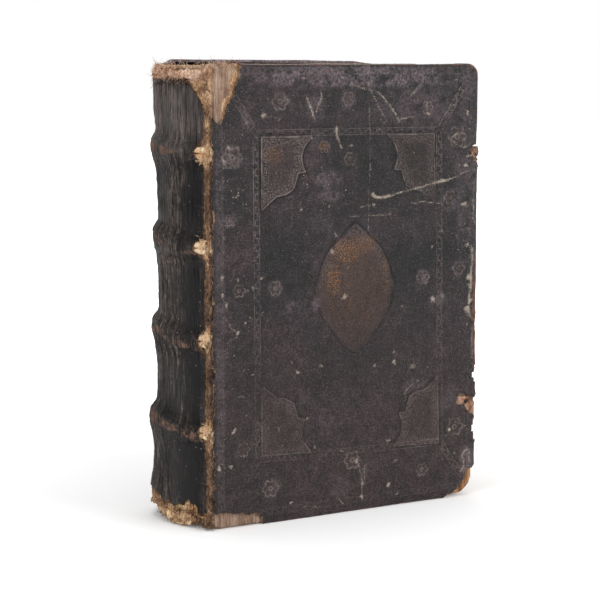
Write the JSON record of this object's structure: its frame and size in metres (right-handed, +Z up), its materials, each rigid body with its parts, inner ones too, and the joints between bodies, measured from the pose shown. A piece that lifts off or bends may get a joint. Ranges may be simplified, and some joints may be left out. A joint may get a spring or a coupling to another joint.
{
  "type": "antique leather book",
  "caption": "Tall antique book in worn dark leather over wooden boards, with raised bands, blind tooling, torn corners and two covers that open.",
  "frame": {"origin": "middle of the footprint, on the surface that the book stands on", "axes": "+X from the spine to the fore edge, -Y out of the front cover, +Z up from the tail to the head"},
  "size_m": [0.2366, 0.0822, 0.32],
  "materials": {
    "cover_leather": "worn, satin",
    "oak_board": "raw, old",
    "peg_wood": "raw",
    "hemp_cord": "frayed cord",
    "endband_thread": "faded thread",
    "parchment": "dry parchment",
    "old_paper": "aged paper",
    "page_edges": "aged page edges",
    "strap_leather": "worn through",
    "iron": "rusted"
  },
  "bodies": {
    "text_block": {"text_block": "page_edges", "sewing_support_1": "hemp_cord", "sewing_support_2": "hemp_cord", "sewing_support_3": "hemp_cord", "sewing_support_4": "hemp_cord", "spine_lining_1": "parchment", "spine_lining_2": "parchment", "spine_lining_3": "parchment", "spine_lining_4": "parchment", "spine_lining_5": "parchment", "head_endband": "endband_thread", "tail_endband": "endband_thread", "spine_leather": "cover_leather"},
    "front_cover": {"front_board": "oak_board", "front_leather": "cover_leather", "front_pastedown": "old_paper", "front_slip_1": "hemp_cord", "front_slip_2": "hemp_cord", "front_slip_3": "hemp_cord", "front_slip_4": "hemp_cord", "front_pegs": "peg_wood", "lower_strap_stub": "strap_leather", "upper_strap_stub": "strap_leather", "strap_nails": "iron"},
    "back_cover": {"back_board": "oak_board", "back_leather": "cover_leather", "back_pastedown": "old_paper", "back_slip_1": "hemp_cord", "back_slip_2": "hemp_cord", "back_slip_3": "hemp_cord", "back_slip_4": "hemp_cord", "back_pegs": "peg_wood"}
  },
  "joints": [
    {"name": "front_cover_hinge", "type": "hinge", "parent": "text_block", "child": "front_cover", "pos_m": [-0.09673, -0.0411, 0.16], "axis": [0, 0, -1], "range_deg": [0, 170]},
    {"name": "back_cover_hinge", "type": "hinge", "parent": "text_block", "child": "back_cover", "pos_m": [-0.09673, 0.0411, 0.16], "axis": [0, 0, 1], "range_deg": [0, 170]}
  ]
}
